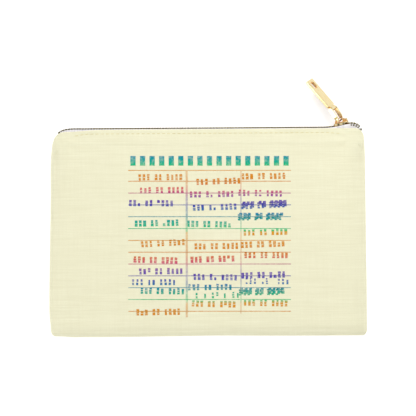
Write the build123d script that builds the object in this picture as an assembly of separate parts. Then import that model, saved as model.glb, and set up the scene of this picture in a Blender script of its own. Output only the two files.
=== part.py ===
from build123d import *
import os
from math import atan2, degrees, floor, pi, sin

# A flat canvas pouch with a metal zip along its top edge, lying on its back.
# Frame: origin on the supporting surface under the middle of the canvas, +X along the zip towards
# the closed end, +Y from the bottom seam to the zip, +Z out of the printed front panel. Millimetres.

# ---------------------------------------------------------------- driving dimensions
pouch_width = 228.6         # 9 inches, side seam to side seam
canvas_height = 150.0       # bottom seam to the folded top edge; the teeth bring it to 6 inches
canvas = 0.55               # one layer of cotton canvas
hem_layers = 2              # the top edge is folded in
hem_depth = 11.0
lining = 0.3
tape = 0.5                  # zip tape thickness
back_hem_lift = 0.35        # the back hem curls up off the surface
seam_z = 2.8                # height of the side and bottom seams
lining_gap = 0.55           # between the canvas and the lining
lining_top = 4.2            # the lining ends this far below the folded top edge
least_rise = 0.45           # of a panel above the seam, at the bottom seam

tooth_pitch = 2.0           # along one row; the rows are half a pitch apart
tooth_width = 0.85          # along the zip
tooth_height = 2.3          # through the tape
tooth_reach = 0.55          # how far a head passes the middle of the closed chain
chain_half = 2.15           # half the width of the closed chain
row_spread = 1.25           # how far the slider's wedge pushes each row out
row_pinch = 0.75            # how far each row draws in again at the closed end
row_margin = 2.6            # from an end of the zip's line to its first tooth
tape_end = 3.0              # how far a tape runs past the last tooth
mouth_half = 3.75           # half the space between the hems that the zip lies in
mouth_depth = 2.1           # how far that space reaches below the zip's line

slider_length = 11.2
slider_half = 4.0           # half width at the shoulders
slider_x = 97.4             # where the slider rests, zip closed
slider_tilt = 11.7          # degrees that the slider leans with the raised end of the chain
slider_gap = 0.3            # to the tape on either side

link_length = 10.4          # between the centres of its two bars
link_width = 7.2
link_depth = 3.0            # of its side arms
pull_heading = 123.0        # direction of the link in the XY plane, degrees from +X
pull_twist = 38.0           # slack twist of the link about its own length, degrees
tab_bend = -9.0             # the tab's turn about the link's outer bar, degrees
tab_twist = -5.0            # slack twist of the tab about its own length, degrees
tab_length = 26.5           # from the outer bar's centre to the free end
tab_width = 7.2
tab_thick = 2.3

stitch_length = 2.7
stitch_pitch = 3.7
stitch_width = 0.52
stitch_thick = 0.2
topstitch_run = 196.0       # length of the stitching along a hem
topstitch_drop = 3.0        # from the folded edge
seam_pitch = 3.2
seam_stitch = 2.5
seam_thread_radius = 0.2
side_seam = (-66.0, 40.0)   # where the stitches of the side seams start and end, along Y
bottom_seam_half = 104.0

# ---------------------------------------------------------------- worked out from those
hem = hem_layers * canvas
half_width = pouch_width / 2
top_y = canvas_height / 2
bottom_y = -top_y
hem_y = top_y - hem_depth
zip_z = back_hem_lift + hem + tape + slider_gap + slider_half
front_z = zip_z + slider_half + slider_gap + tape + hem
flange_z = slider_half + slider_gap         # inner face of a tape flange, from the zip's middle
flange_end = 100.5          # a flange runs to here each way from the middle
flange_drop = 9.6           # how far it reaches down behind the hem
row_end_left = -107.4
row_end_right = 110.9
slider_y = top_y + 1.83     # the chain rises to the slider at the closed end


def save(node, solids):
    """Writes one node, of one solid or a group of separate solids."""
    shape = solids if isinstance(solids, (Part, Solid)) else Compound(children=list(solids))
    shape.label = node
    export_step(shape, os.path.join("parts", node + ".step"))


def smooth(t):
    """An even rise from 0 to 1."""
    t = min(max(t, 0.0), 1.0)
    return t * t * (3 - 2 * t)


# ---------------------------------------------------------------- canvas panels and lining
# The pouch's cross-sections along Y: (y, half width, half width of the flat of the front,
# height of the front, half width of the flat of the back, height of the back's underside)
SECTIONS = [
    (bottom_y, half_width - 3.4, 106.0, seam_z + 0.9, 107.0, seam_z - 0.8),
    (bottom_y + 1.2, half_width - 1.0, 104.0, 5.0, 106.5, 1.1),
    (bottom_y + 4.0, half_width, 101.0, 6.9, 106.0, 0.1),
    (bottom_y + 12.0, half_width, 98.0, 8.5, 105.0, -0.4),
    (-30.0, half_width, 95.0, 9.7, 105.0, -0.4),
    (15.0, half_width, 95.0, 10.6, 105.0, -0.4),
    (44.0, half_width, 98.0, 11.6, 105.0, -0.4),
    (hem_y, half_width - 1.7, 101.5, front_z, 104.5, back_hem_lift),
    (top_y - 5.5, half_width - 2.8, 102.5, front_z, 104.0, back_hem_lift),
    (top_y - 2.2, half_width - 4.6, 102.5, front_z, 103.5, back_hem_lift),
    (top_y, half_width - 9.0, 102.5, front_z, 103.0, back_hem_lift),
]


def crown(y, half, flat, rise, past=0.0):
    """A section across the pouch: flat in the middle, rounded down to both seams.

    past carries it straight down beyond the seams, for a cavity that is cut out.
    """
    start, end = Vector(-half, y, seam_z), Vector(-flat, y, seam_z + rise)
    middle = Vector(-flat - (half - flat) * sin(pi / 4), y, seam_z + rise * sin(pi / 4))
    left = Spline(start, middle, end, tangents=(Vector(0, 0, 1), Vector(1, 0, 0)))
    far = [Vector(-p.X, p.Y, p.Z) for p in (end, middle, start)]
    right = Spline(*far, tangents=(Vector(1, 0, 0), Vector(0, 0, -1)))
    top = Line(end, far[0])
    if not past:
        return Face(Wire([left, top, right, Line(far[2], start)]))
    low = [far[2] - Vector(0, 0, past), start - Vector(0, 0, past)]
    return Face(Wire([left, top, right, Line(far[2], low[0]), Line(*low), Line(low[1], start)]))


def half_bag(side, inset, hem_inset, reach=0.0):
    """The solid inside the front (side 1) or back (side -1) panel, inset from its outer face.

    reach carries it past the folded edge and the seams, for a cavity that is cut out.
    """
    faces = []
    for y, half, front_flat, front, back_flat, back in SECTIONS:
        flat, rise = (front_flat, front - seam_z) if side > 0 else (back_flat, seam_z - back)
        if inset and side < 0:
            rise = min(rise, seam_z)
        depth = hem_inset if y >= hem_y else inset
        rise = max(rise - depth, least_rise - 0.2 * inset)
        place = y + inset if y == bottom_y else y
        faces.append(crown(place, half - inset, flat - inset / 2, rise, reach / 2))
    if reach:
        faces.append(crown(y + reach, half - inset, flat - inset / 2, rise, reach / 2))
    bag = loft(faces, ruled=True)
    return bag if side > 0 else mirror(bag, about=Plane.XY.offset(seam_z))


def mouth():
    """The space that the zip takes between the two hems, and round both top corners."""
    path = zip_path()
    steps = 40
    past_end = 1.2
    above = top_y + 12
    points = [path @ (i / steps) for i in range(steps + 1)]
    low = [Vector(p.X, p.Y - mouth_depth) for p in points]
    low = [low[0] - Vector(past_end, 0), *low, low[-1] + Vector(past_end, 0)]
    face = make_face(Polyline(*low, Vector(low[-1].X, above), Vector(low[0].X, above), close=True))
    return Pos(0, 0, zip_z - mouth_half) * extrude(face, 2 * mouth_half)


def panel(side):
    """One canvas panel: a shallow tray of cloth, open at the seam plane and at the zip."""
    outer = half_bag(side, 0, 0)
    cavity = half_bag(side, canvas, hem, reach=2.0)
    shell = outer - cavity
    if side < 0:
        above_surface = Pos(0, 0, front_z) * Box(2 * pouch_width, 2 * canvas_height, 2 * front_z)
        shell = shell & above_surface
    return shell - mouth()


def lining_wall(side):
    """One wall of the lining, hung inside the panel and stitched to the tape below the zip."""
    gap = canvas + lining_gap
    under_tape = hem + tape + 0.05
    outer = half_bag(side, gap, under_tape)
    inner = half_bag(side, gap + lining, under_tape + lining, reach=2.0)
    below_zip = Box(2 * pouch_width, 2 * canvas_height, 4 * front_z)
    return (outer - inner) & Pos(0, top_y - lining_top - canvas_height, 0) * below_zip


# ---------------------------------------------------------------- the zip's line
def zip_path():
    """The line of the zip in the XY plane: straight, humped past the slider, down at both ends."""
    left = Spline(
        (row_end_left, top_y - 2.9), (-104.9, top_y - 1.15), (-101.0, top_y - 0.2),
        (-96.0, top_y + 0.1), tangents=((0.72, 0.7), (1, 0)),
    )
    middle = Line((-96.0, top_y + 0.1), (84.0, top_y + 0.1))
    right = Spline(
        (84.0, top_y + 0.1), (91.8, top_y + 0.75), (slider_x, slider_y), (102.4, top_y + 2.93),
        (105.8, top_y + 2.95), (108.7, top_y + 1.9), (110.3, top_y + 0.1),
        (row_end_right, top_y - 2.0), tangents=((1, 0), (0.15, -0.99)),
    )
    return Wire([left, middle, right])


def spread(x):
    """How far each row stands out from the middle at x, forced apart by the slider's wedge."""
    opened = smooth((x - slider_x + 3.6) / 6.2)
    pinched = smooth((x - 105.0) / 6.0)
    return row_spread * opened - row_pinch * pinched


def tape_edge(x):
    """The tape's inner edge, from the middle of the chain."""
    return tooth_reach + 0.2 + spread(x)


def zip_tape(side):
    """One tape: a shelf out from the teeth, and a flange turned down behind the hem."""
    path = zip_path()
    back = flange_z + tape
    shelf = extrude(trace(path, tape), side * back)
    shelf = Pos(0, 0, zip_z) * shelf
    left, right = row_end_left - tape_end, row_end_right + tape_end
    end_half = 2.2
    shoulder = 98.0
    bend_start, bend_step, bend_steps = 91.0, 1.5, 14
    stations = [left, *(bend_start + bend_step * i for i in range(bend_steps)), right]
    inner = [(x, tape_edge(x)) for x in stations]
    outer = [(right, end_half), (shoulder, back), (-shoulder, back), (left, end_half)]
    plan = make_face(Polyline(*inner, *outer, close=True))
    trim = Pos(0, top_y + 20, 0) * (Rot(90, 0, 0) * extrude(plan, 40))
    if side < 0:
        trim = mirror(trim, about=Plane.XY)
    shelf = shelf & Pos(0, 0, zip_z) * trim
    steps = 60
    crest = [path @ (i / steps) for i in range(steps + 1)]
    crest = [Vector(p.X, p.Y + tape / 2) for p in crest if abs(p.X) < flange_end]
    low = top_y - flange_drop
    foot = [Vector(crest[-1].X, low), Vector(crest[0].X, low)]
    flange = extrude(make_face(Polyline(*crest, *foot, close=True)), side * tape)
    return shelf + Pos(0, 0, zip_z + side * flange_z) * flange


# ---------------------------------------------------------------- teeth and stops
def tooth(side):
    """One tooth, seen along the zip: a head past the middle and two legs gripping the tape."""
    h = tooth_height / 2
    grip = tape / 2 + 0.02
    slot = tooth_reach + 0.12
    outline = Polyline(
        (-h * 0.55, -tooth_reach), (h * 0.55, -tooth_reach), (h * 0.8, -tooth_reach + 0.25),
        (h * 0.8, 0.5), (h, 0.75), (h, chain_half - 0.25), (h - 0.25, chain_half),
        (grip, chain_half), (grip, slot), (-grip, slot), (-grip, chain_half),
        (-h + 0.25, chain_half), (-h, chain_half - 0.25), (-h, 0.75), (-h * 0.8, 0.5),
        (-h * 0.8, -tooth_reach + 0.25), close=True,
    )
    body = Pos(-tooth_width / 2, 0, 0) * extrude(Plane.YZ * make_face(outline), tooth_width)
    return body if side > 0 else mirror(body, about=Plane.XY)


def on_path(path, u, shape, z):
    """Stands shape on the zip's line at u, turned to follow it."""
    at, along = path @ u, path % u
    turn = degrees(atan2(along.Y, along.X))
    return Pos(at.X, at.Y, z) * Rot(0, 0, turn) * shape


def teeth(side):
    path = zip_path()
    length = path.length
    first = row_margin + (0.0 if side > 0 else tooth_pitch / 2)
    count = floor((length - first - row_margin) / tooth_pitch) + 1
    shape = tooth(side)
    row = []
    for i in range(count):
        u = (first + i * tooth_pitch) / length
        row.append(on_path(path, u, shape, zip_z + side * spread((path @ u).X)))
    return row


clip_slack = 0.16           # room for the tape's bend in a clip's slot
clip_length = 1.5
clip_width = 1.9
clip_web = 0.4              # what joins a clip's two legs
clip_end = 1.0              # from a clip's middle to the end of the zip's line


def stop_clip(side):
    """A U-shaped clip at the end of one row, round the tape's edge."""
    clip = Box(clip_length, tooth_height, clip_width)
    clip -= Pos(0, 0, clip_web) * Box(2 * clip_length, tape + clip_slack, clip_width)
    clip = Pos(0, 0, clip_width / 2 + 0.3) * clip
    return clip if side > 0 else mirror(clip, about=Plane.XY)


def top_stop(side):
    path = zip_path()
    u = 1 - clip_end / path.length
    return on_path(path, u, stop_clip(side), zip_z + side * spread((path @ u).X))


def bottom_stop():
    """The clip across both rows at the open end."""
    path = zip_path()
    slot_start = 0.5
    clip = Box(clip_length + 0.2, tooth_height + 0.2, 2 * chain_half)
    slot = Box(2 * clip_length, tape + clip_slack, chain_half)
    clip -= Pos(0, 0, slot_start + chain_half / 2) * slot
    clip -= Pos(0, 0, -slot_start - chain_half / 2) * slot
    return on_path(path, (clip_end - 0.1) / path.length, clip, zip_z)


# ---------------------------------------------------------------- slider
# In the slider's own axes: u along the zip (the end with two channels is +u), v up through the
# top plate, w across. Built with u, v, w on X, Y, Z.
slider_rear_half = 2.85
channel_gap = 1.55          # from the middle of the slider to the inner face of each plate
top_plate = 0.8
bottom_plate = 0.9
slot_up, slot_down = 0.52, 0.92     # the slot that the tape passes through, from the middle
flange_front = 2.3          # the flanges end here, short of the nose
flange_wall = 0.5
arch_half = 0.75            # half the crown's width
arch_base = 0.6             # height of the crown's foot, below its opening
arch_room = 2.4             # height of the opening
arch_wall = 0.55
pin_radius = 0.5            # the link's bar under the crown
pin_u, pin_v = -0.1, channel_gap + top_plate + 1.8


def slider_outline(inset=0.0):
    """The plan of a plate: narrow behind, wide shoulders in front, with a rounded nose."""
    rear = slider_rear_half - inset
    wide = slider_half - inset
    back, front = -slider_length / 2 + inset, slider_length / 2 - inset
    side = Spline((back + 0.9, rear), (-1.6, rear + 0.32), (1.6, wide - 0.08), (3.0, wide),
                  tangents=((1, 0), (1, 0)))
    rear_corner = TangentArc((back + 0.9, rear), (back, rear - 0.9), tangent=(-1, 0))
    nose = Spline((3.0, wide), (front - 0.35, wide - 1.4), (front, 0),
                  tangents=((1, 0), (0, -1)))
    back_edge = Line((back, rear - 0.9), (back, 0))
    half_plan = make_face([back_edge, rear_corner, side, nose, Line((back, 0), (front, 0))])
    return half_plan + mirror(half_plan, about=Plane.XZ)


def plate(face, low, high):
    """Stands a plan (u, w) up as a plate between two heights v."""
    return Pos(0, high, 0) * (Rot(90, 0, 0) * extrude(face, high - low))


def slider_body():
    top = channel_gap + top_plate
    low = -channel_gap - bottom_plate
    outline = slider_outline()
    inner = slider_outline(flange_wall)
    channel_rear = Pos(-slider_length / 2, 0) * Rectangle(2.4, 2 * (slider_rear_half - flange_wall))
    channel_front = Pos(slider_length / 2, 0) * Rectangle(5.2, 2 * (slider_half - flange_wall))
    body = plate(outline, low, top)
    body = fillet(body.edges().filter_by(GeomType.BSPLINE).group_by(Axis.Y)[-1], 0.3)
    body -= plate(inner + channel_rear + channel_front, -channel_gap, channel_gap)
    across = 3 * slider_half
    slot = Box(2 * slider_length, slot_up + slot_down, across)
    body -= Pos(0, (slot_up - slot_down) / 2, 0) * slot
    open_nose = Box(slider_length, 2 * channel_gap, across)
    body -= Pos(flange_front + slider_length / 2, 0, 0) * open_nose
    wedge_tip, wedge_back, wedge_half = 0.45, 4.6, 0.5
    wedge = make_face([
        Spline((wedge_tip, 0), (2.3, wedge_half * 0.86), (3.7, wedge_half),
               tangents=((1, 0.35), (1, 0))),
        ThreePointArc((3.7, wedge_half), (wedge_back, 0), (3.7, -wedge_half)),
        Spline((3.7, -wedge_half), (2.3, -wedge_half * 0.86), (wedge_tip, 0),
               tangents=((-1, 0), (-1, 0.35))),
    ])
    body += plate(wedge, -channel_gap - 0.1, channel_gap + 0.1)
    body += crown_arch(top)
    return body


def crown_arch(top):
    """The arch on the top plate that the link hangs in, recessed ahead of its opening."""
    floor_v = top + arch_base
    ceiling = floor_v + arch_room
    crest = ceiling + arch_wall
    outer = make_face([
        Spline((-4.7, top - 0.2), (-4.0, top + 1.9), (-1.6, crest - 0.2), (0.8, crest),
               (3.9, crest - 1.1), (5.2, top - 0.2), tangents=((0.1, 1), (0.1, -1))),
        Line((5.2, top - 0.2), (-4.7, top - 0.2)),
    ])
    opening = make_face([
        Line((-2.7, floor_v), (1.3, floor_v)),
        Spline((1.3, floor_v), (1.35, ceiling - 0.8), (0.6, ceiling), tangents=((0, 1), (-1, 0))),
        Line((0.6, ceiling), (-0.9, ceiling)),
        Spline((-0.9, ceiling), (-2.3, ceiling - 0.75), (-2.7, floor_v),
               tangents=((-1, 0), (-0.1, -1))),
    ])
    recess = make_face(Polyline(
        (1.75, floor_v), (3.9, floor_v), (3.7, ceiling - 1.0), (1.75, ceiling - 0.2), close=True))
    arch = Pos(0, 0, -arch_half) * extrude(outer - opening, 2 * arch_half)
    web_half = 0.2
    for side in (-1, 1):
        arch -= Pos(0, 0, side * web_half) * extrude(recess, side)
    return arch


SLIDER_AT = Pos(slider_x, slider_y, zip_z) * Rot(0, 0, slider_tilt)

# ---------------------------------------------------------------- pull
# In the link's own axes: along its length on X, across it on Y (its bars), its depth on Z.


def pull_frame():
    """Where the link stands: its inner bar in the crown, its length along the heading, twisted."""
    pivot = (SLIDER_AT * Pos(pin_u, pin_v, 0)).position
    turn = Rot(0, 0, pull_heading) * Rot(-90 - pull_twist, 0, 0)
    return Pos(pivot.X, pivot.Y, pivot.Z) * turn


def tab_frame():
    """Where the tab stands: on the link's outer bar, bent and twisted by its slack."""
    return pull_frame() * Pos(link_length, 0, 0) * Rot(0, tab_bend, 0) * Rot(tab_twist, 0, 0)


def pull_link():
    """Two deep flat arms joined by a round bar at each end."""
    half = link_width / 2
    arm = 0.75
    near = 3.35                                  # half width at the crown's bar
    r = link_depth / 2
    side_view = make_face([
        ThreePointArc((0, pin_radius), (-pin_radius, 0), (0, -pin_radius)),
        Spline((0, -pin_radius), (1.2, -0.9), (2.8, -r), tangents=((1, -0.2), (1, 0))),
        Line((2.8, -r), (link_length - 0.4, -r)),
        ThreePointArc((link_length - 0.4, -r), (link_length + 0.9, 0), (link_length - 0.4, r)),
        Line((link_length - 0.4, r), (2.8, r)),
        Spline((2.8, r), (1.2, 0.9), (0, pin_radius), tangents=((-1, 0), (-1, -0.2))),
    ])
    sides = Pos(0, half, 0) * (Rot(90, 0, 0) * extrude(side_view, 2 * half))
    plan = make_face(Polyline(
        (-1.5, near), (2.2, near + 0.05), (3.6, half), (link_length + 2, half),
        (link_length + 2, half - arm), (3.6, half - arm), (2.2, near - arm + 0.05), (-1.5, near - arm),
        close=True,
    ))
    plan = plan + mirror(plan, about=Plane.XZ)
    arms = sides & Pos(0, 0, -3) * extrude(plan, 6)
    inner_bar = Rot(90, 0, 0) * Cylinder(pin_radius, 2 * near - 0.4)
    outer_bar = Pos(link_length, 0, 0) * Rot(90, 0, 0) * Cylinder(0.6, 2 * half - 0.4)
    return arms + inner_bar + outer_bar


def pull_tab():
    """A long flat bar with an eye round the link's outer bar and a slot near its free end."""
    eye_half, eye_hole, eye_radius = 2.3, 1.0, 1.65
    shoulder = 2.0
    neck_length = 2.8
    slot_length, slot_width, slot_margin = 5.8, 3.6, 2.1
    bar = Pos((shoulder + tab_length) / 2, 0, 0) * Box(tab_length - shoulder, tab_width, tab_thick)
    bar = fillet(bar.edges().filter_by(Axis.Z), 0.5)
    bar = chamfer(bar.faces().filter_by(Axis.Z).edges(), 0.18)
    neck = Pos(neck_length / 2, 0, 0) * Box(neck_length, 2 * eye_half, tab_thick - 0.1)
    eye = Rot(90, 0, 0) * Cylinder(eye_radius, 2 * eye_half)
    hole = Rot(90, 0, 0) * Cylinder(eye_hole, 4 * eye_half)
    slot = Pos(0, 0, -tab_thick) * extrude(SlotOverall(slot_length, slot_width), 2 * tab_thick)
    slot = Pos(tab_length - slot_margin - slot_length / 2, 0, 0) * slot
    return bar + neck + eye - hole - slot


# ---------------------------------------------------------------- thread
def topstitch(side):
    """The stitches along a hem, lying on its outer face."""
    z = front_z if side > 0 else back_hem_lift - stitch_thick
    stitch = extrude(SlotOverall(stitch_length, stitch_width), stitch_thick)
    count = int(topstitch_run / stitch_pitch)
    middles = [(i + 0.5 - count / 2) * stitch_pitch for i in range(count)]
    return [Pos(x, top_y - topstitch_drop, z) * stitch for x in middles]


def seam_thread(start, end):
    """Stitches of a seam, lying along its inside."""
    run = end - start
    count = int(run.length / seam_pitch)
    step = run / count
    turn = degrees(atan2(step.Y, step.X))
    thread = Rot(0, 90, 0) * Cylinder(seam_thread_radius, seam_stitch)
    return [Pos(*(start + step * (i + 0.5))) * Rot(0, 0, turn) * thread for i in range(count)]


def side_seam_thread(side):
    x = side * (half_width - canvas - seam_thread_radius - 0.01)
    return seam_thread(Vector(x, side_seam[0], seam_z), Vector(x, side_seam[1], seam_z))


def bottom_seam_thread():
    y = bottom_y + canvas + seam_thread_radius + 0.01
    return seam_thread(Vector(-bottom_seam_half, y, seam_z), Vector(bottom_seam_half, y, seam_z))


def main():
    os.makedirs("parts", exist_ok=True)
    save("front_panel", panel(1))
    save("back_panel", panel(-1))
    save("front_lining", lining_wall(1))
    save("back_lining", lining_wall(-1))
    for name, side in (("front", 1), ("back", -1)):
        save("zip_tape_" + name, zip_tape(side))
        save("zip_teeth_" + name, teeth(side))
        save("top_stop_" + name, top_stop(side))
        save("topstitch_" + name, topstitch(side))
    save("bottom_stop", bottom_stop())
    save("slider_body", SLIDER_AT * slider_body())
    save("pull_link", pull_frame() * pull_link())
    save("pull_tab", tab_frame() * pull_tab())
    save("side_seam_thread_left", side_seam_thread(-1))
    save("side_seam_thread_right", side_seam_thread(1))
    save("bottom_seam_thread", bottom_seam_thread())


main()
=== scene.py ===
import math
import random

import bmesh
import bpy
from mathutils import Euler, Matrix, Vector, noise

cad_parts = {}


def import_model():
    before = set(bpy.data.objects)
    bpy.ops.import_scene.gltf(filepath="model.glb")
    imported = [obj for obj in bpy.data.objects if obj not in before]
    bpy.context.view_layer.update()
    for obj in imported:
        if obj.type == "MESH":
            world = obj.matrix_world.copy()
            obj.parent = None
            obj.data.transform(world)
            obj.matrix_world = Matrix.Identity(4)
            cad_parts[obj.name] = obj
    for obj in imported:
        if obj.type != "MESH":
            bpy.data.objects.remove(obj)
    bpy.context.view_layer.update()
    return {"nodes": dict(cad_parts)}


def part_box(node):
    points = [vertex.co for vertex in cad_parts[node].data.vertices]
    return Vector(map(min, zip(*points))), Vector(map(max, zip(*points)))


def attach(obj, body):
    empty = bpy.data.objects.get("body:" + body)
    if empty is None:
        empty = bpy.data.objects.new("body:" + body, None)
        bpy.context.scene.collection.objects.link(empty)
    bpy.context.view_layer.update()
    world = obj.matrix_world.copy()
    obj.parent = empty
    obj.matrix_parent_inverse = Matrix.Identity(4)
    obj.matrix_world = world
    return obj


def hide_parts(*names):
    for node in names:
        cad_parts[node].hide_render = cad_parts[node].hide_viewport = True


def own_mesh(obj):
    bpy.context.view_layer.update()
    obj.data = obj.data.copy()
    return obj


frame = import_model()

# A flat canvas pouch lying on its back, with a metal zip along its top edge. Metres, in the frame of
# the CAD model: origin on the floor under the middle of the canvas, +Y to the zip, +Z out of the front.

random.seed(11)
MM = 0.001
NODES = frame["nodes"]

# ---------------------------------------------------------------- sizes, read from the frame
front_low, front_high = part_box("front_panel")
HALF_WIDTH, TOP_Y, FRONT_Z = front_high
BOTTOM_Y, SEAM_Z = front_low.y, front_low.z
ZIP_Z = (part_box("zip_tape_front")[1].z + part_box("zip_tape_back")[0].z) / 2
FLANGE = (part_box("zip_tape_front")[1].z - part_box("zip_tape_back")[0].z) / 2

CLOTH = 0.5 * MM            # canvas
HEM_DEPTH = 11 * MM
HEM_FOLD = 0.58 * MM        # outer radius of the folded edge
BACK_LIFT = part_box("zip_tape_back")[0].z - 2 * HEM_FOLD + 0.06 * MM
CORNER = {-1: 8.2 * MM, 1: 6.4 * MM}        # radius of the left and right top corners
TAPER = {-1: 1.9 * MM, 1: 1.0 * MM}         # how much narrower the pouch is at its top, each side
LEAN = {                    # how its sides slope: mm per mm, about a height, between two limits (mm)
    -1: (-0.0219, -4.7, -0.75, 0.88),
    1: (-0.0070, 35.0, 0.1, 0.5),
}
BOTTOM_CORNER = 3.4 * MM    # how far the sides turn in at the bottom
LEFT_CORNER_MORE = 1.1 * MM
HEM_SAG = 1.4 * MM          # how far the hem hangs down at its left end
STITCH_Y = TOP_Y - 3 * MM   # the topstitching along a hem
STITCH_PITCH = 3.7 * MM
TAPE = 0.45 * MM
TAPE_EDGE = 0.75 * MM       # a tape's inner edge, from the middle of the zip
TAPE_OUT = FLANGE - 0.25 * MM               # its flange, from the middle of the zip
TAPE_DEPTH = 10 * MM
TAPE_BEND = 0.7 * MM        # radius of its turn over the hem
TAPE_SHELF = slice(0, 4)    # points of a tape's section: its shelf, and its outer part
TAPE_FLANGE = slice(2, None)
LINING = 0.25 * MM
LINING_GAP = 0.75 * MM      # between the canvas and the lining
SEAM_INSET = 0.42 * MM      # a seam's stitches, in from the edge of the cloth


def smooth(t):
    """An even rise from 0 to 1."""
    t = min(max(t, 0.0), 1.0)
    return t * t * (3 - 2 * t)


def bulge(d, reach):
    """A quarter circle's rise, from 0 at d = 0 to 1 at d = reach."""
    return math.sqrt(max(0.0, 1 - (1 - min(d / reach, 1)) ** 2))


def bump(d, width):
    """A soft hump, 1 at d = 0."""
    return math.exp(-(d / width) ** 2)


# ---------------------------------------------------------------- making objects
def new_mesh(name, verts, faces, body="pouch"):
    mesh = bpy.data.meshes.new(name)
    mesh.from_pydata([tuple(v) for v in verts], [], faces)
    mesh.validate()
    mesh.update()
    obj = bpy.data.objects.new(name, mesh)
    bpy.context.scene.collection.objects.link(obj)
    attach(obj, body)
    return obj


def shade_smooth(obj):
    obj.data.polygons.foreach_set("use_smooth", [True] * len(obj.data.polygons))


def apply_modifiers(obj):
    """Puts the result of an object's modifiers into its mesh."""
    bpy.context.view_layer.update()
    seen = obj.evaluated_get(bpy.context.evaluated_depsgraph_get())
    mesh = bpy.data.meshes.new_from_object(seen)
    obj.modifiers.clear()
    obj.data = mesh


def thicken(obj, thickness, offset):
    solid = obj.modifiers.new("thickness", "SOLIDIFY")
    solid.thickness = thickness
    solid.offset = offset
    solid.use_even_offset = False
    apply_modifiers(obj)
    shade_smooth(obj)


def grid_faces(rows, columns, flip=False):
    faces = []
    for r in range(rows - 1):
        for c in range(columns - 1):
            a = r * columns + c
            face = (a, a + 1, a + columns + 1, a + columns)
            faces.append(face[::-1] if flip else face)
    return faces


def islands(node):
    """The separate solids of a CAD node, as (lowest corner, highest corner), ordered along X, then Y."""
    work = bmesh.new()
    work.from_mesh(NODES[node].data)
    bmesh.ops.remove_doubles(work, verts=work.verts, dist=1e-6)
    left = set(work.verts)
    boxes = []
    while left:
        stack = [left.pop()]
        low, high = stack[0].co.copy(), stack[0].co.copy()
        while stack:
            v = stack.pop()
            for i in range(3):
                low[i] = min(low[i], v.co[i])
                high[i] = max(high[i], v.co[i])
            for edge in v.link_edges:
                other = edge.other_vert(v)
                if other in left:
                    left.remove(other)
                    stack.append(other)
        boxes.append((low, high))
    work.free()
    return sorted(boxes, key=lambda b: (b[0].x + b[1].x, b[0].y + b[1].y))


# ---------------------------------------------------------------- the shape of the cloth
# side is 1 for the front panel and -1 for the back. across runs over a panel from -2 at its left seam,
# through -1 and 1 at the ends of its flat middle, to 2 at its right seam.
CREASES = [                 # soft creases of the front: start, end, width, depth
    ((-108, 12), (-66, 21), 3.2, 0.20),
    ((74, 18), (109, 31), 3.0, 0.16),
    ((-104, -46), (-70, -38), 4.0, 0.16),
    ((66, -52), (108, -40), 3.6, 0.18),
    ((-20, -70), (34, -63), 3.2, 0.14),
    ((-84, 58), (-52, 66), 3.4, 0.12),
    ((80, 60), (104, 52), 3.4, 0.12),
    ((-100, -12), (-76, -20), 4.2, 0.12),
]


def lean(y, sign):
    """A side's even slope outwards to the bottom."""
    slope, about, least, most = LEAN[sign]
    return min(max(slope * (y / MM - about), least), most) * MM


def half_width(y, sign):
    """Half the width of the pouch at y, on the left (sign -1) or the right."""
    taper = TAPER[sign] * min(max((y - 44 * MM) / (25 * MM), 0.0), 1.0) ** 2
    corner = BOTTOM_CORNER * (1 - bulge(y - BOTTOM_Y, 4 * MM))
    if sign < 0:
        corner += LEFT_CORNER_MORE * (1 - smooth((y - BOTTOM_Y - 2 * MM) / (18 * MM)))
    return HALF_WIDTH + lean(y, sign) - taper - corner


def bottom_lift(x):
    """How far the bottom edge is drawn up at x: in the middle, and at the left corner."""
    return (0.5 * bump(x / MM - 4, 38) + 0.7 * smooth((-x / MM - 97) / 11)) * MM


def flat_half(side, y):
    """Half the width of a panel's flat middle. The front's is waisted."""
    if side < 0:
        return 105 * MM - 2 * MM * smooth((y - 40 * MM) / (30 * MM))
    return (95 + 7.5 * ((y / MM + 4) / 76) ** 2) * MM


def rise(side, y):
    """Height of a panel's flat middle, outwards from the seam."""
    d = y - BOTTOM_Y
    if side < 0:
        return SEAM_Z * bulge(d, 4.5 * MM) - BACK_LIFT * smooth((y - 50 * MM) / (14 * MM))
    roll = 5.0 * MM             # round the bottom edge, before the climb to the zip
    climb = FRONT_Z - SEAM_Z - roll
    return roll * bulge(d, 9 * MM) + climb * min(d / (139 * MM), 1) ** 1.1


def crease(x, y):
    """How far the front's creases press it in at (x, y)."""
    total = 0.0
    for (x0, y0), (x1, y1), width, depth in CREASES:
        run = Vector((x1 - x0, y1 - y0))
        here = Vector((x / MM - x0, y / MM - y0))
        along = here.dot(run) / run.length_squared
        off = abs(here.cross(run)) / run.length
        if 0 < along < 1:
            total -= depth * bump(off, width) * math.sin(math.pi * along) ** 0.7
    return total * MM


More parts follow.
